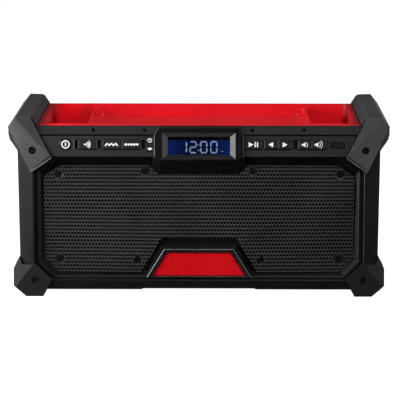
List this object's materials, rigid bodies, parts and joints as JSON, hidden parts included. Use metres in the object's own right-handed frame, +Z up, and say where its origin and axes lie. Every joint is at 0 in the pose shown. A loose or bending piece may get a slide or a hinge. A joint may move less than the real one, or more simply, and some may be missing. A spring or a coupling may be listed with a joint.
{
  "type": "jobsite radio",
  "caption": "Rugged jobsite radio: tool tray on top, a carrying bar at each end, corner feet, full-width speaker grille, push keys and a clock display.",
  "frame": {"origin": "on the floor, under the middle of the radio", "axes": "+X to the radio's right as seen from the front, front faces -Y, +Z up"},
  "size_m": [0.4188, 0.2, 0.2002],
  "materials": {
    "cabinet_black": "fine moulded texture",
    "fascia_black": "fine moulded texture",
    "bar_grey": "coarse moulded texture",
    "foot_rubber": "matt",
    "tray_red": "satin",
    "badge_red": "satin",
    "key_black": "satin",
    "lens_clear": "polished",
    "lcd_blue": "glossy",
    "mat_rubber": "matt",
    "board_green": "solder resist",
    "grille_black": "powder coat",
    "contact_brass": "bright",
    "steel": "plain",
    "socket_black": "moulded",
    "sink_aluminium": "extruded",
    "ferrite": "matt",
    "basket_black": "painted",
    "cone_paper": "coated",
    "screw_black": "black zinc"
  },
  "bodies": {
    "cabinet": {"front_cabinet": "cabinet_black", "rear_cabinet": "cabinet_black", "battery_bay": "cabinet_black", "tray": "tray_red", "control_fascia": "fascia_black", "display_pod": "fascia_black", "display_lens": "lens_clear", "lcd_module": "lcd_blue", "keypad_mat": "mat_rubber", "control_board": "board_green", "speaker_grille": "grille_black", "badge_frame": "fascia_black", "badge_plate": "badge_red", "battery_dock": "cabinet_black", "battery_contacts": "contact_brass", "aux_compartment": "cabinet_black", "door_hinge_pin": "steel", "aux_jack": "socket_black", "usb_port": "steel", "dc_inlet": "socket_black", "main_board": "board_green", "heat_sink": "sink_aluminium", "ferrite_antenna": "ferrite", "right_handle": "bar_grey", "left_handle": "bar_grey", "right_grip_cup": "cabinet_black", "left_grip_cup": "cabinet_black", "front_right_foot": "foot_rubber", "front_left_foot": "foot_rubber", "rear_right_foot": "foot_rubber", "rear_left_foot": "foot_rubber", "grille_screws": "screw_black", "handle_screws": "screw_black", "foot_screws": "screw_black", "strip_screws": "screw_black", "shell_screws": "screw_black", "left_speaker_gasket": "mat_rubber", "left_speaker_basket": "basket_black", "left_speaker_cone": "cone_paper", "left_speaker_surround": "mat_rubber", "left_speaker_dust_cap": "cone_paper", "left_speaker_magnet": "steel", "right_speaker_gasket": "mat_rubber", "right_speaker_basket": "basket_black", "right_speaker_cone": "cone_paper", "right_speaker_surround": "mat_rubber", "right_speaker_dust_cap": "cone_paper", "right_speaker_magnet": "steel"},
    "power_button": {"power_button": "key_black"},
    "wireless_button": {"wireless_button": "key_black"},
    "band_button": {"band_button": "key_black"},
    "preset_button": {"preset_button": "key_black"},
    "clock_button": {"clock_button": "key_black"},
    "tone_button": {"tone_button": "key_black"},
    "play_button": {"play_button": "key_black"},
    "previous_button": {"previous_button": "key_black"},
    "next_button": {"next_button": "key_black"},
    "volume_down_button": {"volume_down_button": "key_black"},
    "volume_up_button": {"volume_up_button": "key_black"},
    "aux_door": {"aux_door": "cabinet_black"}
  },
  "joints": [
    {"name": "power_button_press", "type": "slide", "parent": "cabinet", "child": "power_button", "axis": [0, 1, 0], "range_m": [0, 0.001], "stiffness_N_per_m": 600},
    {"name": "wireless_button_press", "type": "slide", "parent": "cabinet", "child": "wireless_button", "axis": [0, 1, 0], "range_m": [0, 0.001], "stiffness_N_per_m": 600},
    {"name": "band_button_press", "type": "slide", "parent": "cabinet", "child": "band_button", "axis": [0, 1, 0], "range_m": [0, 0.001], "stiffness_N_per_m": 600},
    {"name": "preset_button_press", "type": "slide", "parent": "cabinet", "child": "preset_button", "axis": [0, 1, 0], "range_m": [0, 0.001], "stiffness_N_per_m": 600},
    {"name": "clock_button_press", "type": "slide", "parent": "cabinet", "child": "clock_button", "axis": [0, 1, 0], "range_m": [0, 0.001], "stiffness_N_per_m": 600},
    {"name": "tone_button_press", "type": "slide", "parent": "cabinet", "child": "tone_button", "axis": [0, 1, 0], "range_m": [0, 0.001], "stiffness_N_per_m": 600},
    {"name": "play_button_press", "type": "slide", "parent": "cabinet", "child": "play_button", "axis": [0, 1, 0], "range_m": [0, 0.001], "stiffness_N_per_m": 600},
    {"name": "previous_button_press", "type": "slide", "parent": "cabinet", "child": "previous_button", "axis": [0, 1, 0], "range_m": [0, 0.001], "stiffness_N_per_m": 600},
    {"name": "next_button_press", "type": "slide", "parent": "cabinet", "child": "next_button", "axis": [0, 1, 0], "range_m": [0, 0.001], "stiffness_N_per_m": 600},
    {"name": "volume_down_button_press", "type": "slide", "parent": "cabinet", "child": "volume_down_button", "axis": [0, 1, 0], "range_m": [0, 0.001], "stiffness_N_per_m": 600},
    {"name": "volume_up_button_press", "type": "slide", "parent": "cabinet", "child": "volume_up_button", "axis": [0, 1, 0], "range_m": [0, 0.001], "stiffness_N_per_m": 600},
    {"name": "aux_door_hinge", "type": "hinge", "parent": "cabinet", "child": "aux_door", "pos_m": [0.064, 0.095, 0.085], "axis": [0, 0, 1], "range_deg": [0, 95]}
  ]
}
